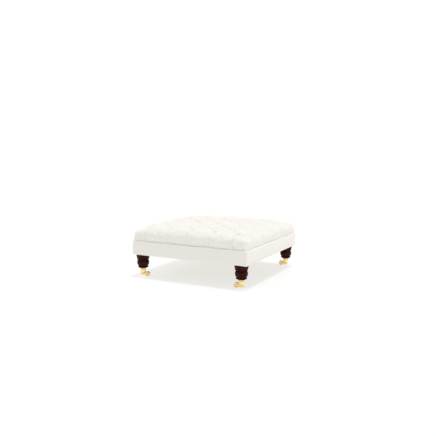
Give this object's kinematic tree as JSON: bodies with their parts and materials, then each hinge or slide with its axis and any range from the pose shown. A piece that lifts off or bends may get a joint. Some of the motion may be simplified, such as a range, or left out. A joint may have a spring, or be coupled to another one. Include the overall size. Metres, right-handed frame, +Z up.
{
  "type": "footstool",
  "caption": "Large square upholstered footstool with a diamond-buttoned cushion on a plain fabric rail, dark turned legs and swivelling brass castors",
  "frame": {"origin": "on the floor under the middle of the stool", "axes": "+Z up, +X to the right of someone who faces the front, the front faces -Y"},
  "size_m": [1, 1, 0.399],
  "materials": {
    "ivory_fabric": "woven cotton and linen",
    "dark_wood": "polished dark mahogany",
    "brass": "polished cast brass",
    "steel": "zinc plated",
    "frame_timber": "planed beech, unfinished",
    "webbing": "woven jute webbing",
    "hessian": "plain hessian",
    "foam": "open-cell upholstery foam",
    "padding": "white wadding",
    "black_cloth": "non-woven dust cloth"
  },
  "bodies": {
    "stool": {"legs": "dark_wood", "castor_cups": "brass", "leg_bolts": "steel", "rail_front": "frame_timber", "rail_back": "frame_timber", "rail_left": "frame_timber", "rail_right": "frame_timber", "centre_brace": "frame_timber", "webbing_lengthways": "webbing", "webbing_crossways": "webbing", "hessian": "hessian", "foam_core": "foam", "rail_cover": "ivory_fabric", "rail_padding": "padding", "dust_cover": "black_cloth", "top_cover": "ivory_fabric", "buttons": "ivory_fabric", "corner_block_front_left": "frame_timber", "corner_block_front_right": "frame_timber", "corner_block_back_left": "frame_timber", "corner_block_back_right": "frame_timber"},
    "castor_swivel_front_left": {"castor_fork_front_left": "brass", "castor_axle_front_left": "brass"},
    "castor_roller_front_left": {"castor_wheel_front_left": "brass"},
    "castor_swivel_front_right": {"castor_fork_front_right": "brass", "castor_axle_front_right": "brass"},
    "castor_roller_front_right": {"castor_wheel_front_right": "brass"},
    "castor_swivel_back_left": {"castor_fork_back_left": "brass", "castor_axle_back_left": "brass"},
    "castor_roller_back_left": {"castor_wheel_back_left": "brass"},
    "castor_swivel_back_right": {"castor_fork_back_right": "brass", "castor_axle_back_right": "brass"},
    "castor_roller_back_right": {"castor_wheel_back_right": "brass"}
  },
  "joints": [
    {"name": "swivel_front_left", "type": "hinge", "parent": "stool", "child": "castor_swivel_front_left", "pos_m": [-0.433, -0.446, 0.0205], "axis": [0, 0, 1], "continuous": true},
    {"name": "roll_front_left", "type": "hinge", "parent": "castor_swivel_front_left", "child": "castor_roller_front_left", "pos_m": [-0.3933, -0.446, 0.0205], "axis": [0, 1, 0], "continuous": true},
    {"name": "swivel_front_right", "type": "hinge", "parent": "stool", "child": "castor_swivel_front_right", "pos_m": [0.433, -0.446, 0.0205], "axis": [0, 0, 1], "continuous": true},
    {"name": "roll_front_right", "type": "hinge", "parent": "castor_swivel_front_right", "child": "castor_roller_front_right", "pos_m": [0.3933, -0.446, 0.0205], "axis": [0, 1, 0], "continuous": true},
    {"name": "swivel_back_left", "type": "hinge", "parent": "stool", "child": "castor_swivel_back_left", "pos_m": [-0.433, 0.446, 0.0205], "axis": [0, 0, 1], "continuous": true},
    {"name": "roll_back_left", "type": "hinge", "parent": "castor_swivel_back_left", "child": "castor_roller_back_left", "pos_m": [-0.3933, 0.446, 0.0205], "axis": [0, 1, 0], "continuous": true},
    {"name": "swivel_back_right", "type": "hinge", "parent": "stool", "child": "castor_swivel_back_right", "pos_m": [0.433, 0.446, 0.0205], "axis": [0, 0, 1], "continuous": true},
    {"name": "roll_back_right", "type": "hinge", "parent": "castor_swivel_back_right", "child": "castor_roller_back_right", "pos_m": [0.3933, 0.446, 0.0205], "axis": [0, 1, 0], "continuous": true}
  ]
}
